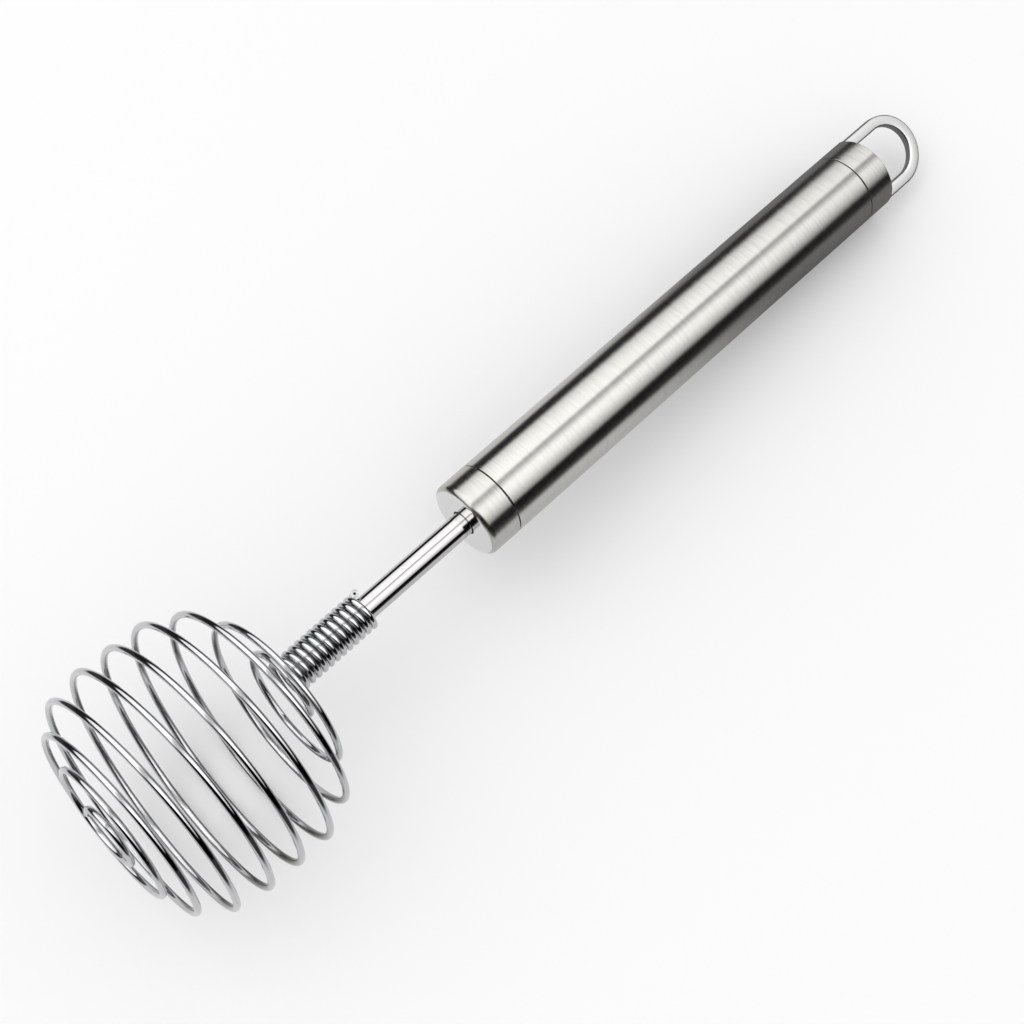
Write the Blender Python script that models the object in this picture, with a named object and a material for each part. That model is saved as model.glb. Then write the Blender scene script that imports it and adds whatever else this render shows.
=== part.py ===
# Spiral whisk: one wire wound as a balloon on a steel handle with a hang loop.
#
# The pieces are modelled along the handle's axis, in the handle's own frame: X runs towards the hang
# loop and X = 0 is the front end of the handle tube. An empty then lays the whole whisk on the floor,
# where it stands on the balloon and on the rim of the rear cap.

import math

import bmesh
import bpy
import numpy as np
from mathutils import Matrix, Vector

# Handle, in metres
HANDLE_DIAMETER = 0.0200
TUBE_LENGTH = 0.1290
TUBE_WALL = 0.0008
FRONT_CAP_LENGTH = 0.0088
REAR_CAP_LENGTH = 0.0081
SPIGOT_LENGTH = 0.0060
FRONT_ROUNDING = 0.0006
REAR_ROUNDING = 0.00025
SEAM_CHAMFER = 0.00015

# Stem
STEM_DIAMETER = 0.0060
STEM_SHOWING = 0.0314
STEM_PAST_SPIGOT = 0.0020
STEM_CHAMFER = 0.0004

# Hang loop: a bar bent into a U, as wide as the flat of the rear cap's end face
LOOP_LENGTH = 0.0200
LOOP_BAR_WIDTH = 0.0029
LOOP_BAR_THICKNESS = 0.0024
LOOP_BAR_ROUNDING = 0.0008
LOOP_ROLL = 30.0

# Gaps between neighbouring pieces
SEAM_GAP = 0.0003
FIT_CLEARANCE = 0.0003
COIL_CLEARANCE = 0.0004
COIL_GAP = 0.00043

# Wire, thinner by 0.15 mm than the real 1.6 mm wire so that the close coil keeps its gap
WIRE_DIAMETER = 0.00145
COIL_TURNS = 13.7
HEAD_TURNS = 9.3
HEAD_RADIUS = 0.0308
HEAD_PITCH = 0.0083
TIP_PITCH = 0.0010
STEM_SHORT_OF_HEAD = 0.0040

# Where the head opens, spreads its turns and leans over, in turns counted from the end of the coil
OPENING = (-0.26, 3.49)
PITCH_RISE = (0.0, 2.4)
SHOULDER = (-0.44, 0.30)
# Where it closes and draws its turns together, in turns counted from the wire's free end
CLOSING = (-4.0, 0.6)
PITCH_FALL = (-3.4, -1.1)

# The first turn of the head leaves the coil at this angle, from +Y towards +Z
COIL_END_ANGLE = 127.5
# Each opening turn grows ahead by up to twice this share of a turn on the side away from this angle
LEAD_TURNS = 0.159
LEAD_ANGLE = 19.5
# The head leans on its neck, and its axis is set a little to one side of the stem's
HEAD_RAISE = 3.42
HEAD_SWING = 1.90
HEAD_SHIFT = Vector((0.0, -0.0020, -0.0004))

# Fineness of the solids. The wire's points are as close as the head's from half a turn before it opens
TURNED_STEPS = 48
STEM_STEPS = 32
COIL_POINTS = 10
HEAD_POINTS = 24
HEAD_POINTS_FROM = -0.5
ARC_STEPS = 3
BEND_STEPS = 16
SHARP_ANGLE = 35.0

# The search for the tilt at which the whisk lies on the floor
STEEPEST_TILT = 30.0
TILT_HALVINGS = 50

handle_radius = HANDLE_DIAMETER / 2
tube_bore_radius = handle_radius - TUBE_WALL
spigot_radius = tube_bore_radius - FIT_CLEARANCE
stem_radius = STEM_DIAMETER / 2
wire_radius = WIRE_DIAMETER / 2
coil_radius = stem_radius + COIL_CLEARANCE + wire_radius
coil_pitch = WIRE_DIAMETER + COIL_GAP
front_shoulder_x = -SEAM_GAP
front_face_x = front_shoulder_x - FRONT_CAP_LENGTH
rear_shoulder_x = TUBE_LENGTH + SEAM_GAP
rear_face_x = rear_shoulder_x + REAR_CAP_LENGTH
coil_start_x = front_face_x - STEM_SHOWING
coil_end_x = coil_start_x - COIL_TURNS * coil_pitch
loop_half_width = handle_radius - REAR_ROUNDING - LOOP_BAR_WIDTH / 2
loop_leg = LOOP_LENGTH - FIT_CLEARANCE - loop_half_width - LOOP_BAR_WIDTH / 2


def steel(name, colour, roughness):
    material = bpy.data.materials.new(name)
    material.use_nodes = True
    shader = material.node_tree.nodes["Principled BSDF"]
    shader.inputs["Base Color"].default_value = (*colour, 1.0)
    shader.inputs["Metallic"].default_value = 1.0
    shader.inputs["Roughness"].default_value = roughness
    return material


def place(name, data, material, x, parent, roll=0.0):
    piece = bpy.data.objects.new(name, data)
    data.materials.append(material)
    bpy.context.scene.collection.objects.link(piece)
    piece.location = (x, 0.0, 0.0)
    piece.rotation_euler = (math.radians(roll), 0.0, 0.0)
    piece.parent = parent
    return piece


def mesh_from(bm, name):
    bmesh.ops.remove_doubles(bm, verts=bm.verts, dist=1e-6)
    bmesh.ops.recalc_face_normals(bm, faces=bm.faces)
    mesh = bpy.data.meshes.new(name)
    bm.to_mesh(mesh)
    bm.free()
    mesh.shade_smooth()
    mesh.set_sharp_from_angle(angle=math.radians(SHARP_ANGLE))
    return mesh


def arc(centre, radius, start, end, steps):
    """Points of a round corner in the plane, angles in degrees."""
    points = []
    for step in range(steps + 1):
        angle = math.radians(start + (end - start) * step / steps)
        points.append((centre[0] + radius * math.cos(angle), centre[1] + radius * math.sin(angle)))
    return points


def turned(name, outline, steps, ring=False):
    """A piece turned on a lathe: outline holds (x, radius) points, from axis to axis or as a ring."""
    # Half a step past straight down, so that a flat strip of the faceted rim lies on the floor
    start = Matrix.Rotation(math.pi / steps, 4, "X")
    bm = bmesh.new()
    verts = [bm.verts.new(start @ Vector((x, 0.0, -radius))) for x, radius in outline]
    edges = [bm.edges.new(pair) for pair in zip(verts, verts[1:])]
    if ring:
        edges.append(bm.edges.new((verts[-1], verts[0])))
    bmesh.ops.spin(
        bm, geom=verts + edges, cent=(0, 0, 0), axis=(1, 0, 0), angle=math.tau, steps=steps, use_merge=True
    )
    return mesh_from(bm, name)


def cap_outline(length, rounding):
    """The outside of a cap, from its end face to its spigot, with the shoulder at 0 and +X inwards."""
    inner_end = SEAM_GAP + SPIGOT_LENGTH
    return [
        *arc((rounding - length, handle_radius - rounding), rounding, 180, 90, ARC_STEPS),
        (-SEAM_CHAMFER, handle_radius),
        (0.0, handle_radius - SEAM_CHAMFER),
        (0.0, spigot_radius),
        (inner_end - SEAM_CHAMFER, spigot_radius),
        (inner_end, spigot_radius - SEAM_CHAMFER),
    ]


def front_cap(parent):
    bore_radius = stem_radius + FIT_CLEARANCE
    outline = [
        (-FRONT_CAP_LENGTH, bore_radius),
        *cap_outline(FRONT_CAP_LENGTH, FRONT_ROUNDING),
        (SEAM_GAP + SPIGOT_LENGTH, bore_radius),
    ]
    mesh = turned("front_cap", outline, TURNED_STEPS, ring=True)
    cap_steel = steel("front cap steel", (0.60, 0.59, 0.58), 0.20)
    return place("front_cap", mesh, cap_steel, front_shoulder_x, parent)


def handle_tube(parent):
    outline = [
        (0.0, handle_radius - SEAM_CHAMFER),
        (SEAM_CHAMFER, handle_radius),
        (TUBE_LENGTH - SEAM_CHAMFER, handle_radius),
        (TUBE_LENGTH, handle_radius - SEAM_CHAMFER),
        (TUBE_LENGTH, tube_bore_radius),
        (0.0, tube_bore_radius),
    ]
    mesh = turned("handle_tube", outline, TURNED_STEPS, ring=True)
    tube_steel = steel("brushed tube steel", (0.58, 0.57, 0.55), 0.32)
    return place("handle_tube", mesh, tube_steel, 0.0, parent)


def rear_cap(parent):
    outline = [
        (-REAR_CAP_LENGTH, 0.0),
        *cap_outline(REAR_CAP_LENGTH, REAR_ROUNDING),
        (SEAM_GAP + SPIGOT_LENGTH, 0.0),
    ]
    mirrored = [(-x, radius) for x, radius in outline]
    mesh = turned("rear_cap", mirrored, TURNED_STEPS)
    cap_steel = steel("rear cap steel", (0.58, 0.57, 0.55), 0.32)
    return place("rear_cap", mesh, cap_steel, rear_shoulder_x, parent)


def stem_rod(parent):
    inner_end = SPIGOT_LENGTH + STEM_PAST_SPIGOT
    outer_end = coil_end_x + STEM_SHORT_OF_HEAD
    length = inner_end - outer_end
    outline = [
        (0.0, 0.0),
        (0.0, stem_radius - STEM_CHAMFER),
        (STEM_CHAMFER, stem_radius),
        (length - STEM_CHAMFER, stem_radius),
        (length, stem_radius - STEM_CHAMFER),
        (length, 0.0),
    ]
    mesh = turned("stem_rod", outline, STEM_STEPS)
    stem_steel = steel("polished stem steel", (0.74, 0.74, 0.74), 0.08)
    return place("stem_rod", mesh, stem_steel, outer_end, parent)


def extruded(bm, face, move):
    """Pulls a face out along a straight run, and gives the face at its new end."""
    grown = bmesh.ops.extrude_face_region(bm, geom=[face, *face.edges, *face.verts])["geom"]
    verts = [item for item in grown if isinstance(item, bmesh.types.BMVert)]
    bmesh.ops.translate(bm, verts=verts, vec=move)
    return next(item for item in grown if isinstance(item, bmesh.types.BMFace))


def hang_loop(parent):
    """The U of bar: a leg, a half-round bend and the other leg, in its own XY plane."""
    corner_y = LOOP_BAR_WIDTH / 2 - LOOP_BAR_ROUNDING
    corner_z = LOOP_BAR_THICKNESS / 2 - LOOP_BAR_ROUNDING
    section = []
    for quarter, (y, z) in enumerate([(1, 1), (-1, 1), (-1, -1), (1, -1)]):
        centre = (y * corner_y, z * corner_z)
        section += arc(centre, LOOP_BAR_ROUNDING, 90 * quarter, 90 * quarter + 90, ARC_STEPS)
    bm = bmesh.new()
    end = bm.faces.new([bm.verts.new((0.0, loop_half_width + y, z)) for y, z in section])
    end = extruded(bm, end, Vector((loop_leg, 0.0, 0.0)))
    bend = bmesh.ops.spin(
        bm,
        geom=[end, *end.edges, *end.verts],
        cent=(loop_leg, 0, 0),
        axis=(0, 0, -1),
        angle=math.pi,
        steps=BEND_STEPS,
    )
    end = next(item for item in bend["geom_last"] if isinstance(item, bmesh.types.BMFace))
    extruded(bm, end, Vector((-loop_leg, 0.0, 0.0)))
    mesh = mesh_from(bm, "hang_loop")
    loop_steel = steel("satin loop steel", (0.70, 0.69, 0.68), 0.22)
    return place("hang_loop", mesh, loop_steel, rear_face_x + FIT_CLEARANCE, parent, roll=LOOP_ROLL)


def share_of(turn, start, end):
    """How much of the stretch from start to end is behind this turn, from 0 to 1."""
    return min(max((turn - start) / (end - start), 0.0), 1.0)


def ramp(turn, start, end):
    """How far the pitch has run: nothing before start, one per turn after end, rising evenly between."""
    share = share_of(turn, start, end)
    return (end - start) * share * share / 2 + max(turn - end, 0.0)


def head_radius_at(turn):
    """Centreline radius: the coil's, then a quarter sine out to the head's, then a quarter cosine in."""
    away = 1.0 - math.cos(math.radians(COIL_END_ANGLE - LEAD_ANGLE - 360.0 * turn))
    grown = turn + LEAD_TURNS * away
    opened = math.sin(share_of(grown, *OPENING) * math.pi / 2)
    closed = math.cos(share_of(grown - HEAD_TURNS, *CLOSING) * math.pi / 2)
    return (coil_radius + (HEAD_RADIUS - coil_radius) * opened) * closed


def wire_point(turn):
    """A point of the wire's centreline, with the end of the coil at the origin and the head towards -X."""
    from_tip = turn - HEAD_TURNS
    x = coil_pitch * max(-turn, 0.0)
    x -= HEAD_PITCH * (ramp(turn, *PITCH_RISE) - ramp(from_tip, *PITCH_FALL))
    x -= TIP_PITCH * max(from_tip - PITCH_FALL[1], 0.0)
    radius = head_radius_at(turn)
    angle = math.radians(COIL_END_ANGLE - 360.0 * turn)
    point = Vector((x, radius * math.cos(angle), radius * math.sin(angle)))
    set_over = share_of(turn, *SHOULDER)
    raise_head = Matrix.Rotation(math.radians(HEAD_RAISE) * set_over, 3, "Y")
    swing_head = Matrix.Rotation(-math.radians(HEAD_SWING) * set_over, 3, "Z")
    return swing_head @ raise_head @ point + HEAD_SHIFT * set_over


def wire_points():
    """The centreline's points, with a straight tail one wire thick at each end."""
    coil_steps = round((COIL_TURNS + HEAD_POINTS_FROM) * COIL_POINTS)
    head_steps = range(round(HEAD_POINTS_FROM * HEAD_POINTS), round(HEAD_TURNS * HEAD_POINTS) + 1)
    turns = [-COIL_TURNS + step / COIL_POINTS for step in range(coil_steps)]
    turns += [step / HEAD_POINTS for step in head_steps]
    points = [wire_point(turn) for turn in turns]
    first_tail = points[0] + (points[0] - points[1]).normalized() * WIRE_DIAMETER
    last_tail = points[-1] + (points[-1] - points[-2]).normalized() * WIRE_DIAMETER
    return [first_tail, *points, last_tail]


def least_gap(points):
    """The wire's least gap to itself, on points a quarter of a step apart.

    Points less than a quarter turn of the coil apart along the wire belong to the same stretch.
    """
    path = np.array([tuple(point) for point in points])
    parts = [path[:-1] + (path[1:] - path[:-1]) * share for share in (0.0, 0.25, 0.5, 0.75)]
    fine = np.stack(parts, axis=1).reshape(-1, 3)
    along = np.concatenate([[0.0], np.cumsum(np.linalg.norm(np.diff(fine, axis=0), axis=1))])
    apart = np.linalg.norm(fine[:, None] - fine[None, :], axis=2)
    apart[np.abs(along[:, None] - along[None, :]) < coil_radius * math.pi / 2] = np.inf
    return apart.min() - WIRE_DIAMETER


def whisk_wire(parent):
    points = wire_points()
    print(f"whisk_wire: least gap to itself {least_gap(points) * 1000:.3f} mm")
    curve = bpy.data.curves.new("whisk_wire", "CURVE")
    curve.dimensions = "3D"
    curve.bevel_depth = wire_radius
    curve.bevel_resolution = 1
    curve.use_fill_caps = True
    spline = curve.splines.new("POLY")
    spline.points.add(len(points) - 1)
    for knot, point in zip(spline.points, points):
        knot.co = (*point, 1.0)
    wire_steel = steel("polished wire steel", (0.76, 0.76, 0.77), 0.06)
    return place("whisk_wire", curve, wire_steel, coil_end_x, parent)


def points_of(piece):
    """The piece's evaluated vertices in world space."""
    evaluated = piece.evaluated_get(bpy.context.evaluated_depsgraph_get())
    mesh = evaluated.to_mesh()
    points = np.empty(len(mesh.vertices) * 3)
    mesh.vertices.foreach_get("co", points)
    evaluated.to_mesh_clear()
    world = np.array(evaluated.matrix_world)
    return points.reshape(-1, 3) @ world[:3, :3].T + world[:3, 3]


def lay_down(base, head, handle_pieces):
    """Tilts the base until head and handle are equally low, then sets the origin under the middle."""
    head_points = points_of(head)
    handle_points = np.concatenate([points_of(piece) for piece in handle_pieces])

    def turned_about_y(points, tilt):
        return points @ np.array(Matrix.Rotation(tilt, 3, "Y")).T

    low, high = 0.0, math.radians(STEEPEST_TILT)
    for _ in range(TILT_HALVINGS):
        tilt = (low + high) / 2
        head_low = turned_about_y(head_points, tilt)[:, 2].min()
        handle_low = turned_about_y(handle_points, tilt)[:, 2].min()
        if head_low < handle_low:
            low = tilt
        else:
            high = tilt
    laid = turned_about_y(np.concatenate([head_points, handle_points]), tilt)
    middle = (laid.min(axis=0) + laid.max(axis=0)) / 2
    base.rotation_euler = (0.0, tilt, 0.0)
    base.location = (-middle[0], -middle[1], -laid[:, 2].min())
    print(f"the handle's axis falls {math.degrees(tilt):.2f} degrees towards the hang loop")


def build():
    for existing in list(bpy.data.objects):
        bpy.data.objects.remove(existing, do_unlink=True)
    base = bpy.data.objects.new("whisk_on_floor", None)
    bpy.context.scene.collection.objects.link(base)
    handle_pieces = [front_cap(base), handle_tube(base), rear_cap(base), hang_loop(base), stem_rod(base)]
    head = whisk_wire(base)
    bpy.context.view_layer.update()
    lay_down(base, head, handle_pieces)
    bpy.context.view_layer.update()


build()
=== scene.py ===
# Spiral whisk: six steel pieces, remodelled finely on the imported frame, on a pale floor in a soft studio.
# The handle's own frame has X towards the hang loop and its origin at the front end of the handle tube.

import math

import bmesh
import bpy
from mathutils import Matrix, Vector


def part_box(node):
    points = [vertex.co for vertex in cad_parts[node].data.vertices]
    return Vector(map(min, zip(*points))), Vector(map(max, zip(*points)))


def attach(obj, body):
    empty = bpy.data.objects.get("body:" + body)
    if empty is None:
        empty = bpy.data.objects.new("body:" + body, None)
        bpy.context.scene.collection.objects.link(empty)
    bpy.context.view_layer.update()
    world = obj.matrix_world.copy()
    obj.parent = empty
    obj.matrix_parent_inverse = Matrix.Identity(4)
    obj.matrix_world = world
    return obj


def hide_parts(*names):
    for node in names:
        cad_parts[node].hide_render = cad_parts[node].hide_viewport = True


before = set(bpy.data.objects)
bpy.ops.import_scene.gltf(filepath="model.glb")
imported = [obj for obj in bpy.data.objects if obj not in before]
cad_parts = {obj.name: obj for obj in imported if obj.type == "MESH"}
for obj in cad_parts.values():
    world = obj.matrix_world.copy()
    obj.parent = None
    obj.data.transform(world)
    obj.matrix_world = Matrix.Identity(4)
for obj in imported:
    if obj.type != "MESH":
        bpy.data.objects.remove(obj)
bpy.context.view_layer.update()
print("loaded the packed frame with", len(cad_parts), "nodes")


# The handle's frame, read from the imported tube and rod

handle = {
    "diameter": 0.0200,
    "tubeLength": 0.1290,
    "tubeWall": 0.0008,
    "seamGap": 0.0003,
    "spigotLength": 0.0060,
    "spigotClearance": 0.0003,
    "seamRounding": 0.00015,
    "stepsAround": 160,
}


def boxMiddle(node):
    low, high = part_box(node)
    return (Vector(low) + Vector(high)) / 2


def handleFrame():
    middle = boxMiddle("handle_tube")
    axis = (middle - boxMiddle("stem_rod")).normalized()
    side = Vector((0.0, 1.0, 0.0))
    rise = axis.cross(side)
    start = middle - axis * handle["tubeLength"] / 2
    placed = Matrix((axis, side, rise)).transposed().to_4x4()
    placed.translation = start
    return placed


onHandle = handleFrame()
handleAxis = onHandle.to_3x3().col[0].copy()
handleRadius = handle["diameter"] / 2
spigotRadius = handleRadius - handle["tubeWall"] - handle["spigotClearance"]


# Shared node groups

grain = {
    "detail": 3.0,
    "roughness": 0.65,
    "bandDetail": 2.0,
    "bandRoughness": 0.5,
    "bandShare": 0.25,
    "toneSpread": (0.25, 0.75),
}

cloud = {"detail": 5.0, "distortion": 0.6, "spread": (0.42, 0.68)}


def newNode(tree, kind, **settings):
    node = tree.nodes.new(kind)
    inputs = settings.pop("inputs", {})
    for name, value in settings.items():
        setattr(node, name, value)
    for name, value in inputs.items():
        socket = node.inputs[name]
        if isinstance(value, bpy.types.NodeSocket):
            tree.links.new(value, socket)
        else:
            socket.default_value = value
    return node


def newGroup(name, inputs, outputs):
    tree = bpy.data.node_groups.new(name, "ShaderNodeTree")
    for way, sockets in (("INPUT", inputs), ("OUTPUT", outputs)):
        for label, kind in sockets:
            tree.interface.new_socket(name=label, in_out=way, socket_type=kind)
    return tree, tree.nodes.new("NodeGroupInput").outputs, tree.nodes.new("NodeGroupOutput").inputs


def grouped(tree, group, **inputs):
    return newNode(tree, "ShaderNodeGroup", node_tree=group, inputs=inputs)


def mathNode(tree, operation, *values):
    node = newNode(tree, "ShaderNodeMath", operation=operation, inputs=dict(enumerate(values)))
    return node.outputs[0]


def vectorNode(tree, operation, *values):
    node = newNode(tree, "ShaderNodeVectorMath", operation=operation, inputs=dict(enumerate(values)))
    return node.outputs


def ranged(tree, value, low, high, start=0.0, end=1.0, **settings):
    return newNode(
        tree,
        "ShaderNodeMapRange",
        inputs={"Value": value, "From Min": start, "From Max": end, "To Min": low, "To Max": high},
        **settings,
    ).outputs["Result"]


def mixedColour(tree, factor, first, second, **settings):
    mixed = newNode(tree, "ShaderNodeMix", data_type="RGBA", inputs={"Factor": factor}, **settings)
    # Sockets 6 and 7 are the two colours of a mix of colours, and output 2 is its result
    for index, colour in ((6, first), (7, second)):
        if isinstance(colour, bpy.types.NodeSocket):
            tree.links.new(colour, mixed.inputs[index])
        else:
            mixed.inputs[index].default_value = (*colour, 1.0)
    return mixed.outputs[2]


def mixedValue(tree, factor, first, second):
    mixed = newNode(tree, "ShaderNodeMix", inputs={"Factor": factor, "A": first, "B": second})
    return mixed.outputs["Result"]


def stretchedNoise(tree, vector, across, run, detail, roughness):
    stretch = newNode(tree, "ShaderNodeCombineXYZ", inputs={"X": across, "Y": run, "Z": run})
    laid = vectorNode(tree, "MULTIPLY", vector, stretch.outputs[0])
    return newNode(
        tree,
        "ShaderNodeTexNoise",
        inputs={"Vector": laid[0], "Scale": 1.0, "Detail": detail, "Roughness": roughness},
    ).outputs["Fac"]


def brushingGroup():
    # Fine lines running across the first axis of the vector, with slower bands of tone among them
    tree, given, wanted = newGroup(
        "brushing",
        [
            ("Vector", "NodeSocketVector"),
            ("Lines", "NodeSocketFloat"),
            ("Run", "NodeSocketFloat"),
            ("Bands", "NodeSocketFloat"),
        ],
        [("Height", "NodeSocketFloat"), ("Tone", "NodeSocketFloat")],
    )
    vector, run = given["Vector"], given["Run"]
    fine = stretchedNoise(tree, vector, given["Lines"], run, grain["detail"], grain["roughness"])
    broad = stretchedNoise(tree, vector, given["Bands"], run, grain["bandDetail"], grain["bandRoughness"])
    tree.links.new(fine, wanted["Height"])
    tree.links.new(mixedValue(tree, grain["bandShare"], fine, broad), wanted["Tone"])
    return tree


def handlingGroup():
    # Faint smudges and rubbed patches, as on steel that has been held and washed
    tree, given, wanted = newGroup(
        "handling",
        [("Vector", "NodeSocketVector"), ("Size", "NodeSocketFloat")],
        [("Smudge", "NodeSocketFloat")],
    )
    noise = newNode(
        tree,
        "ShaderNodeTexNoise",
        inputs={
            "Vector": given["Vector"],
            "Scale": given["Size"],
            "Detail": cloud["detail"],
            "Distortion": cloud["distortion"],
        },
    )
    tree.links.new(ranged(tree, noise.outputs["Fac"], 0.0, 1.0, *cloud["spread"]), wanted["Smudge"])
    return tree


brushing = brushingGroup()
handling = handlingGroup()


# Steels

def steelShader(name):
    material = bpy.data.materials.new(name)
    material.use_nodes = True
    tree = material.node_tree
    shader = tree.nodes["Principled BSDF"]
    shader.inputs["Metallic"].default_value = 1.0
    return material, tree, shader


def toHandle(tree):
    # Object coordinates laid along the handle
    coordinates = newNode(tree, "ShaderNodeTexCoord")
    back = onHandle.inverted()
    return newNode(
        tree,
        "ShaderNodeMapping",
        inputs={
            "Vector": coordinates.outputs["Object"],
            "Rotation": tuple(back.to_euler()),
            "Location": tuple(back.translation),
        },
    ), coordinates


def surface(tree, placed, look):
    # The height of the grain, and the colour and roughness that grain and handling give
    lines = grouped(
        tree, brushing, Vector=placed, Lines=look["lines"], Run=look["run"], Bands=look["bands"]
    )
    smudges = grouped(tree, handling, Vector=placed, Size=look["smudgeSize"])
    colour = mixedColour(tree, lines.outputs["Tone"], look["dark"], look["light"])
    rough = ranged(tree, lines.outputs["Tone"], *look["roughness"], *grain["toneSpread"])
    roughness = mathNode(tree, "MULTIPLY_ADD", smudges.outputs["Smudge"], look["smudge"], rough)
    return lines.outputs["Height"], colour, roughness


def dressed(tree, shader, height, colour, roughness, look):
    tree.links.new(colour, shader.inputs["Base Color"])
    tree.links.new(roughness, shader.inputs["Roughness"])
    bump = newNode(
        tree,
        "ShaderNodeBump",
        inputs={"Height": height, "Strength": look["bump"], "Distance": look["bumpDepth"]},
    )
    tree.links.new(bump.outputs[0], shader.inputs["Normal"])


def brushedSteel(name, look):
    # Brushed round the handle, so highlights run out along it
    material, tree, shader = steelShader(name)
    laid, coordinates = toHandle(tree)
    height, colour, roughness = surface(tree, laid.outputs[0], look)
    if "faceRoughness" in look:
        ends = newNode(tree, "ShaderNodeSeparateXYZ", inputs={0: laid.outputs[0]})
        onFace = mathNode(tree, "LESS_THAN", ends.outputs["X"], look["faceBefore"])
        colour = mixedColour(tree, onFace, colour, look["faceColour"])
        roughness = mixedValue(tree, onFace, roughness, look["faceRoughness"])
    dressed(tree, shader, height, colour, roughness, look)
    shader.inputs["Anisotropic"].default_value = look["anisotropy"]
    # The axis as tangent: it is a metre long, so that the point's own place beside it hardly turns it
    fromStart = tuple(handleAxis - onHandle.translation)
    tangent = vectorNode(tree, "ADD", coordinates.outputs["Object"], fromStart)
    tree.links.new(tangent[0], shader.inputs["Tangent"])
    return material


def polishedSteel(name, look, vector=None):
    # Bright drawn steel: a mirror with hair lines along it and a little handling
    material, tree, shader = steelShader(name)
    if vector:
        placed = newNode(tree, "ShaderNodeAttribute", attribute_name=vector).outputs["Vector"]
    else:
        placed = toHandle(tree)[0].outputs[0]
    height, colour, roughness = surface(tree, placed, look)
    if "cutUntil" in look:
        # The cut end at the start of the wire is dull, with a painted reflection in its middle: a dark spot
        travelled = newNode(tree, "ShaderNodeSeparateXYZ", inputs={0: placed}).outputs
        cut = mathNode(tree, "LESS_THAN", travelled["X"], look["cutUntil"])
        around = newNode(tree, "ShaderNodeCombineXYZ", inputs={"Y": travelled["Y"], "Z": travelled["Z"]})
        fromMiddle = vectorNode(tree, "LENGTH", around.outputs[0])["Value"]
        # The dark spot in the middle of the cut end is a painted reflection
        inMiddle = mathNode(tree, "LESS_THAN", fromMiddle, look["paintedReflectionRadius"])
        colour = mixedColour(tree, cut, colour, look["cutColour"])
        colour = mixedColour(tree, mathNode(tree, "MULTIPLY", cut, inMiddle), colour, look["paintedReflectionColour"])
        roughness = mixedValue(tree, cut, roughness, look["cutRoughness"])
    dressed(tree, shader, height, colour, roughness, look)
    return material


# Shaping helpers

shaping = {
    "roundProfile": 0.5,
    "samePlace": 1e-6,
    "mergeWithin": 1e-7,
    "sharpAngle": 35.0,
    "faceWeight": 50,
    "seamSegments": 3,
}


def turned(profile, asRing):
    # A profile of (x, radius) corners spun round the handle's axis
    bm = bmesh.new()
    verts = [bm.verts.new((x, 0.0, radius)) for x, radius in profile]
    edges = [bm.edges.new(pair) for pair in zip(verts, verts[1:])]
    if asRing:
        edges.append(bm.edges.new((verts[-1], verts[0])))
    bmesh.ops.spin(
        bm,
        geom=verts + edges,
        cent=(0, 0, 0),
        axis=(1, 0, 0),
        angle=math.tau,
        steps=handle["stepsAround"],
        use_merge=True,
    )
    bmesh.ops.remove_doubles(bm, verts=bm.verts, dist=shaping["mergeWithin"])
    return bm


def rounded(bm, geom, offset, segments, affect="EDGES"):
    bmesh.ops.bevel(
        bm,
        geom=geom,
        offset=offset,
        offset_type="OFFSET",
        affect=affect,
        segments=segments,
        profile=shaping["roundProfile"],
        material=-1,
    )


def roundRim(bm, x, radius, rounding, segments):
    def onRim(vert):
        off = math.hypot(vert.co.y, vert.co.z) - radius
        return abs(vert.co.x - x) < shaping["samePlace"] and abs(off) < shaping["samePlace"]

    rounded(bm, [edge for edge in bm.edges if all(onRim(vert) for vert in edge.verts)], rounding, segments)


def finished(bm, name, node, material):
    bmesh.ops.remove_doubles(bm, verts=bm.verts, dist=shaping["mergeWithin"])
    bmesh.ops.recalc_face_normals(bm, faces=bm.faces)
    bm.transform(onHandle)
    mesh = bpy.data.meshes.new(name)
    bm.to_mesh(mesh)
    bm.free()
    mesh.shade_smooth()
    mesh.set_sharp_from_angle(angle=math.radians(shaping["sharpAngle"]))
    piece = bpy.data.objects.new(name, mesh)
    bpy.context.scene.collection.objects.link(piece)
    mesh.materials.append(material)
    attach(piece, "root")
    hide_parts(node)
    return piece


def evenShading(piece):
    # Wide faces keep their own normals beside narrow roundings
    modifier = piece.modifiers.new("evenShading", "WEIGHTED_NORMAL")
    modifier.mode = "FACE_AREA"
    modifier.weight = shaping["faceWeight"]
    modifier.keep_sharp = True


# Handle tube

tubeLook = {
    "dark": (0.39, 0.38, 0.362),
    "light": (0.63, 0.62, 0.593),
    "lines": 3500.0,
    "run": 140.0,
    "bands": 1600.0,
    "roughness": (0.17, 0.26),
    "smudge": 0.015,
    "smudgeSize": 70.0,
    "anisotropy": 0.90,
    "bump": 0.60,
    "bumpDepth": 0.00002,
}


def makeHandleTube():
    length = handle["tubeLength"]
    bore = handleRadius - handle["tubeWall"]
    bm = turned([(0.0, bore), (0.0, handleRadius), (length, handleRadius), (length, bore)], True)
    for x in (0.0, length):
        roundRim(bm, x, handleRadius, handle["seamRounding"], shaping["seamSegments"])
    material = brushedSteel("brushedTubeSteel", tubeLook)
    evenShading(finished(bm, "handleTube", "handle_tube", material))
    print("handle tube made")


# Front cap, with the bore that the stem enters

frontCap = {
    "length": 0.0088,
    "polishedDepth": 0.0002,
    "rounding": 0.0016,
    "boreRadius": 0.0033,
    "boreRounding": 0.00012,
    "rimSegments": 10,
    "boreSegments": 3,
}

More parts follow.
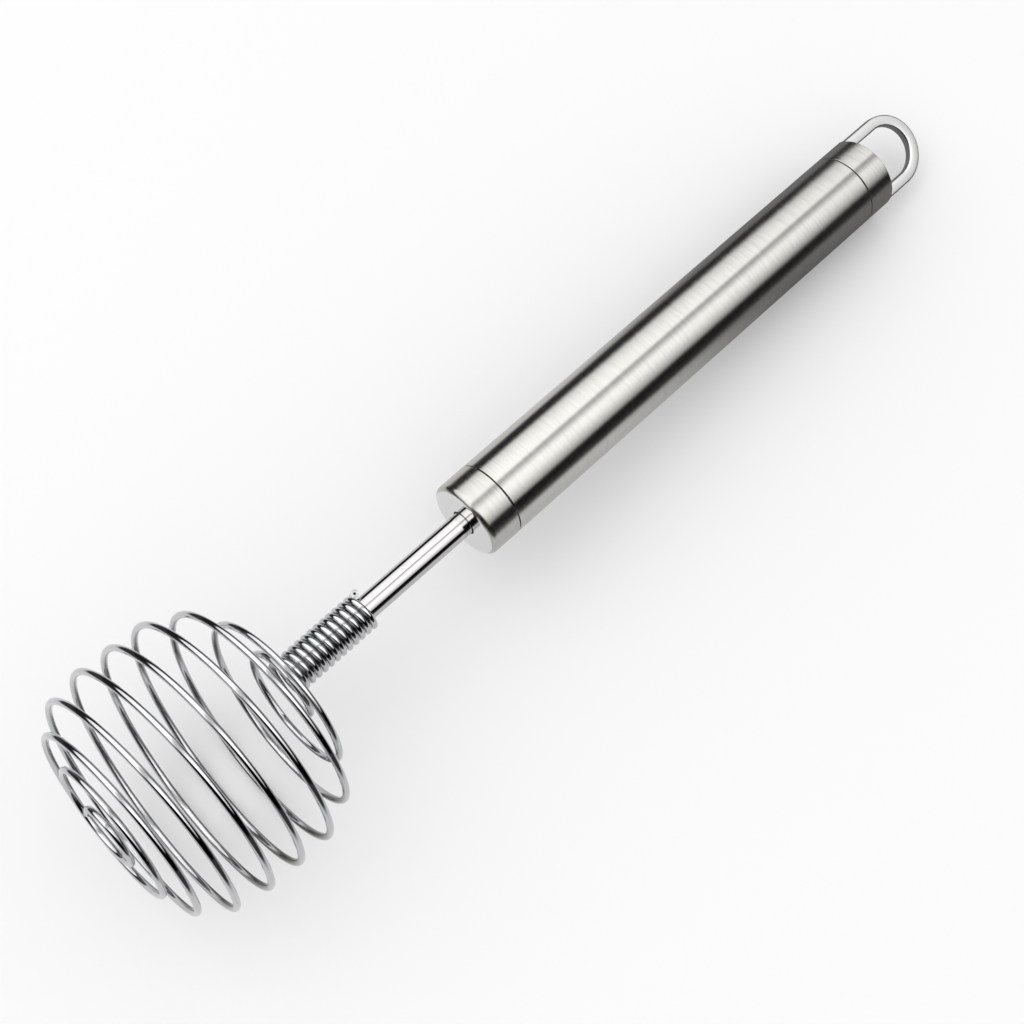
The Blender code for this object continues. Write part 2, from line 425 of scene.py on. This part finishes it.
frontCapLook = {
    **tubeLook,
    # Its tones are a little darker than the tube's: painted shade, for the darker look the cap takes from
    # what it mirrors; its softer brushing and polished face are its own
    "dark": (0.365, 0.355, 0.337),
    "light": (0.59, 0.58, 0.553),
    "roughness": (0.20, 0.28),
    "anisotropy": 0.80,
    "faceRoughness": 0.09,
    "faceColour": (0.80, 0.80, 0.80),
    "faceBefore": frontCap["polishedDepth"] - frontCap["length"] - handle["seamGap"],
}


def makeFrontCap():
    shoulder = -handle["seamGap"]
    face = shoulder - frontCap["length"]
    inner = handle["spigotLength"]
    bore = frontCap["boreRadius"]
    profile = [
        (face, bore),
        (face, handleRadius),
        (shoulder, handleRadius),
        (shoulder, spigotRadius),
        (inner, spigotRadius),
        (inner, bore),
    ]
    bm = turned(profile, True)
    roundRim(bm, face, handleRadius, frontCap["rounding"], frontCap["rimSegments"])
    roundRim(bm, face, bore, frontCap["boreRounding"], frontCap["boreSegments"])
    roundRim(bm, shoulder, handleRadius, handle["seamRounding"], shaping["seamSegments"])
    material = brushedSteel("frontCapSteel", frontCapLook)
    evenShading(finished(bm, "frontCap", "front_cap", material))
    print("front cap made")


# Rear cap

rearCap = {"length": 0.0081, "rounding": 0.00025, "rimSegments": 4}


def makeRearCap():
    shoulder = handle["tubeLength"] + handle["seamGap"]
    face = shoulder + rearCap["length"]
    inner = handle["tubeLength"] - handle["spigotLength"]
    profile = [
        (inner, 0.0),
        (inner, spigotRadius),
        (shoulder, spigotRadius),
        (shoulder, handleRadius),
        (face, handleRadius),
        (face, 0.0),
    ]
    bm = turned(profile, False)
    roundRim(bm, face, handleRadius, rearCap["rounding"], rearCap["rimSegments"])
    roundRim(bm, shoulder, handleRadius, handle["seamRounding"], shaping["seamSegments"])
    material = brushedSteel("brushedCapSteel", tubeLook)
    evenShading(finished(bm, "rearCap", "rear_cap", material))
    print("rear cap made")


# Stem

stem = {
    "diameter": 0.0060,
    "inner": 0.0080,
    "shortOfHead": 0.0040,
    "rounding": 0.0004,
    "rimSegments": 4,
}

stemLook = {
    "dark": (0.48, 0.475, 0.465),
    "light": (0.58, 0.575, 0.565),
    "lines": 60.0,
    "run": 5000.0,
    "bands": 30.0,
    "roughness": (0.05, 0.10),
    "smudge": 0.03,
    "smudgeSize": 200.0,
    "bump": 0.10,
    "bumpDepth": 0.00001,
}


def makeStem():
    radius = stem["diameter"] / 2
    end = wire["coilEnd"] + stem["shortOfHead"]
    profile = [(stem["inner"], 0.0), (stem["inner"], radius), (end, radius), (end, 0.0)]
    bm = turned(profile, False)
    for x in (stem["inner"], end):
        roundRim(bm, x, radius, stem["rounding"], stem["rimSegments"])
    material = polishedSteel("polishedStemSteel", stemLook)
    evenShading(finished(bm, "stemRod", "stem_rod", material))
    print("stem made")


# Hang loop: a bar bent into a U, its feet welded to the rear cap

hangLoop = {
    "length": 0.0200,
    "barWidth": 0.0029,
    "barThickness": 0.0024,
    "barRounding": 0.0005,
    "clearance": 0.0003,
    "roll": 30.0,
    "weldFlare": (1.10, 1.10),
    "bendSteps": 64,
    "cornerSegments": 6,
    "squareOn": 0.99,
}

loopLook = {
    "dark": (0.58, 0.575, 0.57),
    "light": (0.71, 0.71, 0.705),
    "lines": 2500.0,
    "run": 500.0,
    "bands": 260.0,
    "roughness": (0.13, 0.21),
    "smudge": 0.04,
    "smudgeSize": 260.0,
    "bump": 0.20,
    "bumpDepth": 0.00001,
}


def pulled(bm, face, move, grow=1.0):
    # The face pulled out along a straight run, and scaled about its middle
    extruded = bmesh.ops.extrude_face_region(bm, geom=[face, *face.edges, *face.verts])["geom"]
    verts = [item for item in extruded if isinstance(item, bmesh.types.BMVert)]
    bmesh.ops.translate(bm, verts=verts, vec=move)
    newFace = next(item for item in extruded if isinstance(item, bmesh.types.BMFace))
    middle = Matrix.Translation(-newFace.calc_center_median())
    bmesh.ops.scale(bm, verts=verts, vec=(1.0, grow, grow), space=middle)
    return newFace


def makeHangLoop():
    halfWidth = handleRadius - rearCap["rounding"] - hangLoop["barWidth"] / 2
    leg = hangLoop["length"] - hangLoop["clearance"] - halfWidth - hangLoop["barWidth"] / 2
    capFace = handle["tubeLength"] + handle["seamGap"] + rearCap["length"]
    foot = capFace + hangLoop["clearance"]
    bm = bmesh.new()
    standing = Matrix.Translation((foot, halfWidth, 0.0)) @ Matrix.Rotation(math.pi / 2, 4, "Y")
    sized = Matrix.Diagonal((hangLoop["barThickness"], hangLoop["barWidth"], 1.0, 1.0))
    bmesh.ops.create_grid(bm, x_segments=1, y_segments=1, size=0.5, matrix=standing @ sized)
    rounded(bm, list(bm.verts), hangLoop["barRounding"], hangLoop["cornerSegments"], "VERTICES")
    bm.faces.ensure_lookup_table()
    end = pulled(bm, bm.faces[0], Vector((leg, 0.0, 0.0)))
    bend = bmesh.ops.spin(
        bm,
        geom=[end, *end.edges, *end.verts],
        cent=(foot + leg, 0, 0),
        axis=(0, 0, -1),
        angle=math.pi,
        steps=hangLoop["bendSteps"],
    )
    end = next(item for item in bend["geom_last"] if isinstance(item, bmesh.types.BMFace))
    pulled(bm, end, Vector((-leg, 0.0, 0.0)))
    step = Vector((-hangLoop["clearance"] / len(hangLoop["weldFlare"]), 0.0, 0.0))
    for side in (1, -1):
        # Each leg's foot, pulled on to the cap's face and widened where it is welded
        squareOn = [face for face in bm.faces if abs(face.normal.x) > hangLoop["squareOn"]]
        onSide = [face for face in squareOn if face.calc_center_median().y * side > 0]
        end = min(onSide, key=lambda face: face.calc_center_median().x)
        for grow in hangLoop["weldFlare"]:
            end = pulled(bm, end, step, grow)
    rolled = Matrix.Rotation(math.radians(hangLoop["roll"]), 3, "X")
    bmesh.ops.rotate(bm, verts=bm.verts, cent=(0, 0, 0), matrix=rolled)
    material = polishedSteel("satinLoopSteel", loopLook)
    finished(bm, "hangLoop", "hang_loop", material)
    print("hang loop made")


# Wire: a close coil on the stem that opens into the balloon and closes at its tip

wire = {
    "diameter": 0.0016,
    "coilTurns": 13.7,
    "coilPitch": 0.00188,
    "coilRadius": 0.004125,
    "coilEnd": -0.066256,
    "headTurns": 9.3,
    "headRadius": 0.0308,
    "headPitch": 0.0083,
    "tipPitch": 0.0010,
    "opening": (-0.26, 3.49),
    "closing": (-4.0, 0.6),
    "pitchRise": (0.0, 2.4),
    "pitchFall": (-3.4, -1.1),
    "shoulder": (-0.44, 0.30),
    "coilEndAngle": 127.5,
    "leadTurns": 0.159,
    "leadAngle": 19.5,
    "headRaise": 3.42,
    "headSwing": 1.90,
    "headShift": Vector((0.0, -0.0020, -0.0004)),
    "tail": 0.00145,
    "endRounding": 0.00022,
    "sides": 20,
    "endSegments": 3,
    "coilSteps": 36,
    "headSteps": 84,
    "headStepsFrom": -0.5,
}

wireLook = {
    "dark": (0.50, 0.505, 0.515),
    "light": (0.61, 0.62, 0.63),
    "lines": 12.0,
    "run": 2600.0,
    "bands": 40.0,
    "roughness": (0.02, 0.05),
    "smudge": 0.03,
    "smudgeSize": 160.0,
    "bump": 0.06,
    "bumpDepth": 0.00001,
    "cutColour": (0.62, 0.62, 0.62),
    # The dull cut end is the cut's own finish; the dark spot in its middle is a painted reflection
    "paintedReflectionColour": (0.01, 0.01, 0.01),
    "paintedReflectionRadius": 0.00034,
    "cutRoughness": 0.5,
    "cutUntil": 0.00005,
}


def shareOf(turn, stretch):
    start, end = stretch
    return min(max((turn - start) / (end - start), 0.0), 1.0)


def ramp(turn, stretch):
    share = shareOf(turn, stretch)
    return (stretch[1] - stretch[0]) * share * share / 2 + max(turn - stretch[1], 0.0)


def wireRadiusAt(turn):
    away = 1.0 - math.cos(math.radians(wire["coilEndAngle"] - wire["leadAngle"] - 360.0 * turn))
    grown = turn + wire["leadTurns"] * away
    opened = math.sin(shareOf(grown, wire["opening"]) * math.pi / 2)
    closed = math.cos(shareOf(grown - wire["headTurns"], wire["closing"]) * math.pi / 2)
    return (wire["coilRadius"] + (wire["headRadius"] - wire["coilRadius"]) * opened) * closed


def wirePoint(turn):
    # On the wire's middle line, with turns counted from the end of the coil
    fromTip = turn - wire["headTurns"]
    x = wire["coilPitch"] * max(-turn, 0.0)
    x -= wire["headPitch"] * (ramp(turn, wire["pitchRise"]) - ramp(fromTip, wire["pitchFall"]))
    x -= wire["tipPitch"] * max(fromTip - wire["pitchFall"][1], 0.0)
    radius = wireRadiusAt(turn)
    angle = math.radians(wire["coilEndAngle"] - 360.0 * turn)
    point = Vector((x, radius * math.cos(angle), radius * math.sin(angle)))
    setOver = shareOf(turn, wire["shoulder"])
    raised = Matrix.Rotation(math.radians(wire["headRaise"]) * setOver, 3, "Y")
    swung = Matrix.Rotation(-math.radians(wire["headSwing"]) * setOver, 3, "Z")
    leaned = swung @ raised @ point + wire["headShift"] * setOver
    return leaned + Vector((wire["coilEnd"], 0.0, 0.0))


def wirePath():
    coilCount = round((wire["coilTurns"] + wire["headStepsFrom"]) * wire["coilSteps"])
    headFrom = round(wire["headStepsFrom"] * wire["headSteps"])
    headTo = round(wire["headTurns"] * wire["headSteps"])
    turns = [-wire["coilTurns"] + step / wire["coilSteps"] for step in range(coilCount)]
    turns += [step / wire["headSteps"] for step in range(headFrom, headTo + 1)]
    points = [wirePoint(turn) for turn in turns]
    first = points[0] + (points[0] - points[1]).normalized() * wire["tail"]
    last = points[-1] + (points[-1] - points[-2]).normalized() * wire["tail"]
    return [first, *points, last]


def pathFrames(points):
    # At each point, the way the wire runs and two directions across it that turn no more than they must
    ways = [(points[1] - points[0]).normalized()]
    for before, after in zip(points, points[2:]):
        ways.append((after - before).normalized())
    ways.append((points[-1] - points[-2]).normalized())
    across = ways[0].orthogonal().normalized()
    frames = []
    for index, way in enumerate(ways):
        if index:
            across = ways[index - 1].rotation_difference(way) @ across
        frames.append((points[index], across, way.cross(across)))
    return frames


def makeWire():
    # A straight tube, a ring to each point of the path, bent onto it ring by ring
    points = wirePath()
    frames = pathFrames(points)
    bm = bmesh.new()
    path = bm.verts.layers.float_vector.new("alongWire")
    standing = Matrix.Rotation(math.pi / 2, 4, "Y")
    bmesh.ops.create_circle(
        bm, cap_ends=True, segments=wire["sides"], radius=wire["diameter"] / 2, matrix=standing
    )
    bm.faces.ensure_lookup_table()
    pulled(bm, bm.faces[0], Vector((len(points) - 1, 0.0, 0.0)))
    runs = [edge for edge in bm.edges if round(edge.verts[0].co.x) != round(edge.verts[1].co.x)]
    bmesh.ops.subdivide_edgering(bm, edges=runs, cuts=len(points) - 2, interp_mode="LINEAR")
    travelled = [0.0]
    for before, after in zip(points, points[1:]):
        travelled.append(travelled[-1] + (after - before).length)
    for vert in bm.verts:
        ring = round(vert.co.x)
        middle, across, rise = frames[ring]
        vert[path] = (travelled[ring], vert.co.y, vert.co.z)
        vert.co = middle + across * vert.co.y + rise * vert.co.z
    ends = [edge for face in bm.faces if len(face.verts) == wire["sides"] for edge in face.edges]
    rounded(bm, ends, wire["endRounding"], wire["endSegments"])
    material = polishedSteel("polishedWireSteel", wireLook, "alongWire")
    finished(bm, "whiskWire", "whisk_wire", material)
    print(f"wire made, {travelled[-1] * 1000:.0f} mm long")


# Floor, light and camera

floorLook = {
    "size": 3.0,
    "colour": (0.93, 0.93, 0.935),
    # Seen in the steel the floor is painted: bright near the handle, fading dark further off (painted
    # shade)
    "mirroredNear": 0.84,
    "mirroredFar": 0.05,
    "reach": (0.60, 0.080),
    "middle": (0.0, 0.02),
    "fade": (1.0, 1.7),
    # Painted shade in the steel: the mirrored floor darkens towards the hang loop
    "dimmedFrom": (0.02, 0.09),
    "dimmedTo": 0.28,
    # Painted shadow in the steel: the mirrored floor is darker under the balloon
    "underBalloon": (-0.112, 0.0),
    "underBalloonReach": (0.002, 0.038),
    "underBalloonPaintedShadow": (0.15, 0.14, 0.115),
    "below": 0.00002,
    "roughness": 0.9,
}

studio = {
    "fill": 1.0,
    "backdrop": 0.97,
    "mirrored": 2.2,
    "softboxPower": 1.2,
    "softboxSize": 0.9,
    "softboxPlace": (-0.45, 0.55, 0.95),
}

# How bright the room looks in the steel, by height over the horizon in degrees,
roomByHeight = ((-90, 0.010), (15, 0.010), (18, 0.08), (20.5, 0.62), (33, 0.75), (50, 0.95), (90, 1.0))
# how much of that is left, by angle round the handle from straight up, with the near side positive,
roomByAngle = (
    (-180, 1.0),
    (-10, 1.0),
    (-5, 0.42),
    (2, 0.42),
    (7, 0.62),
    (18, 1.0),
    (32, 1.0),
    (45, 0.87),
    (56, 0.68),
    (62, 0.58),
    (66, 0.40),
    (69, 0.02),
    (100, 0.02),
    (105, 1.0),
    (180, 1.0),
)
# how much of that, by lean along the handle towards the hang loop,
roomByLean = ((-90, 1.0), (24, 1.0), (38, 0.70), (90, 0.50))
# and how much is left of that, by angle from the dark side of the room, where the camera stands
roomByDarkSide = ((0, 0.002), (50, 0.002), (56, 1.0), (180, 1.0))
darkSide = Vector((-0.75, -0.66, 0.05)).normalized()


def rampNode(tree, value, low, high, stops):
    placed = ranged(tree, value, 0.0, 1.0, low, high)
    node = newNode(tree, "ShaderNodeValToRGB", inputs={"Fac": placed})
    elements = node.color_ramp.elements
    while len(elements) < len(stops):
        elements.new(0.5)
    for element, (place, level) in zip(elements, stops):
        element.position = (place - low) / (high - low)
        element.color = (level, level, level, 1.0)
    return node.outputs["Color"]


def dotted(tree, vector, direction):
    return vectorNode(tree, "DOT_PRODUCT", vector, tuple(direction))["Value"]


def inDegrees(tree, operation, *values):
    return mathNode(tree, "DEGREES", mathNode(tree, operation, *values))


def makeWorld():
    # Bright overhead, dark at the horizon, with a slit between two softboxes straight over the handle
    world = bpy.data.worlds.new("studio")
    bpy.context.scene.world = world
    world.use_nodes = True
    tree = world.node_tree
    tree.nodes.clear()
    direction = newNode(tree, "ShaderNodeTexCoord").outputs["Generated"]
    height = inDegrees(tree, "ARCSINE", dotted(tree, direction, (0, 0, 1)))
    across = dotted(tree, direction, -onHandle.to_3x3().col[1])
    over = dotted(tree, direction, onHandle.to_3x3().col[2])
    angle = inDegrees(tree, "ARCTAN2", across, over)
    lean = inDegrees(tree, "ARCSINE", dotted(tree, direction, handleAxis))
    fromDarkSide = inDegrees(tree, "ARCCOSINE", dotted(tree, direction, darkSide))
    room = rampNode(tree, height, -90, 90, roomByHeight)
    for share in (
        rampNode(tree, angle, -180, 180, roomByAngle),
        rampNode(tree, lean, -90, 90, roomByLean),
        rampNode(tree, fromDarkSide, 0, 180, roomByDarkSide),
    ):
        room = mixedColour(tree, 1.0, room, share, blend_type="MULTIPLY")
    mirrored = newNode(tree, "ShaderNodeBackground", inputs={"Color": room, "Strength": studio["mirrored"]})
    white = (1.0, 1.0, 1.0, 1.0)
    fill, backdrop = (
        newNode(tree, "ShaderNodeBackground", inputs={"Color": white, "Strength": studio[part]})
        for part in ("fill", "backdrop")
    )
    rays = newNode(tree, "ShaderNodeLightPath")
    lit = newNode(
        tree,
        "ShaderNodeMixShader",
        inputs={0: rays.outputs["Is Glossy Ray"], 1: fill.outputs[0], 2: mirrored.outputs[0]},
    )
    seen = newNode(
        tree,
        "ShaderNodeMixShader",
        inputs={0: rays.outputs["Is Camera Ray"], 1: lit.outputs[0], 2: backdrop.outputs[0]},
    )
    newNode(tree, "ShaderNodeOutputWorld", inputs={"Surface": seen.outputs[0]})


def smoothed(tree, value, stretch, low=0.0, high=1.0):
    return ranged(tree, value, low, high, *stretch, interpolation_type="SMOOTHSTEP")


def distanceFrom(tree, vector, middle, reach=(1.0, 1.0)):
    # The level distance from a point of the floor, in reaches along X and Y
    placed = newNode(
        tree,
        "ShaderNodeMapping",
        inputs={
            "Vector": vector,
            "Scale": (1 / reach[0], 1 / reach[1], 0.0),
            "Location": (-middle[0] / reach[0], -middle[1] / reach[1], 0.0),
        },
    )
    return vectorNode(tree, "LENGTH", placed.outputs[0])["Value"]


def floorPaint():
    # Pale to the eye. In the steel it is mirrored with painted shade: bright near the handle and fading
    # dark further off, darker towards the hang loop, and with a painted shadow under the balloon
    material = bpy.data.materials.new("paleFloorPaint")
    material.use_nodes = True
    tree = material.node_tree
    shader = tree.nodes["Principled BSDF"]
    place = newNode(tree, "ShaderNodeTexCoord").outputs["Object"]
    far = distanceFrom(tree, place, floorLook["middle"], floorLook["reach"])
    fade = smoothed(tree, far, floorLook["fade"], floorLook["mirroredNear"], floorLook["mirroredFar"])
    along = newNode(tree, "ShaderNodeSeparateXYZ", inputs={0: place}).outputs["X"]
    # Painted shade, in the steel only: the mirrored floor darker towards the hang loop
    dimmed = smoothed(tree, along, floorLook["dimmedFrom"], 1.0, floorLook["dimmedTo"])
    # Painted shadow, in the steel only: the mirrored floor darkened under the balloon
    fromBalloon = distanceFrom(tree, place, floorLook["underBalloon"])
    clear = smoothed(tree, fromBalloon, floorLook["underBalloonReach"])
    shaded = mixedColour(tree, clear, floorLook["underBalloonPaintedShadow"], (1.0, 1.0, 1.0))
    mirrored = mathNode(tree, "MULTIPLY", fade, dimmed)
    inSteel = mixedColour(tree, 1.0, mirrored, shaded, blend_type="MULTIPLY")
    rays = newNode(tree, "ShaderNodeLightPath")
    seen = mixedColour(tree, rays.outputs["Is Glossy Ray"], floorLook["colour"], inSteel)
    tree.links.new(seen, shader.inputs["Base Color"])
    shader.inputs["Roughness"].default_value = floorLook["roughness"]
    shader.inputs["Specular IOR Level"].default_value = 0.0
    return material


def lowestPoint(name):
    return min(vert.co.z for vert in bpy.data.objects[name].data.vertices)


def makeFloor():
    level = min(lowestPoint("whiskWire"), lowestPoint("rearCap")) - floorLook["below"]
    bm = bmesh.new()
    bmesh.ops.create_grid(
        bm,
        x_segments=1,
        y_segments=1,
        size=floorLook["size"],
        matrix=Matrix.Translation((0.0, 0.0, level)),
    )
    mesh = bpy.data.meshes.new("paleFloor")
    bm.to_mesh(mesh)
    bm.free()
    floor = bpy.data.objects.new("paleFloor", mesh)
    bpy.context.scene.collection.objects.link(floor)
    mesh.materials.append(floorPaint())


def makeSoftbox():
    data = bpy.data.lights.new("softbox", "AREA")
    data.energy = studio["softboxPower"]
    data.size = studio["softboxSize"]
    light = bpy.data.objects.new("softbox", data)
    bpy.context.scene.collection.objects.link(light)
    light.location = studio["softboxPlace"]
    light.rotation_euler = (-Vector(studio["softboxPlace"])).to_track_quat("-Z", "Y").to_euler()
    light.visible_glossy = False
    light.visible_camera = False


cameraPlace = {
    "location": (-0.13281, -0.11776, 0.41560),
    "tilt": 22.218,
    "turn": -45.271,
    "lens": 63.83,
    "sensor": 36.0,
    "clipStart": 0.01,
}


def makeCamera():
    data = bpy.data.cameras.new("photoView")
    data.sensor_width = cameraPlace["sensor"]
    data.lens = cameraPlace["lens"]
    data.clip_start = cameraPlace["clipStart"]
    camera = bpy.data.objects.new("photoView", data)
    bpy.context.scene.collection.objects.link(camera)
    camera.location = cameraPlace["location"]
    camera.rotation_euler = (math.radians(cameraPlace["tilt"]), 0.0, math.radians(cameraPlace["turn"]))
    bpy.context.scene.camera = camera


makeHandleTube()
makeFrontCap()
makeRearCap()
makeStem()
makeHangLoop()
makeWire()
makeFloor()
makeWorld()
makeSoftbox()
makeCamera()
bpy.context.scene.view_settings.view_transform = "Standard"
print("floor, light and camera placed")

bpy.context.view_layer.update()
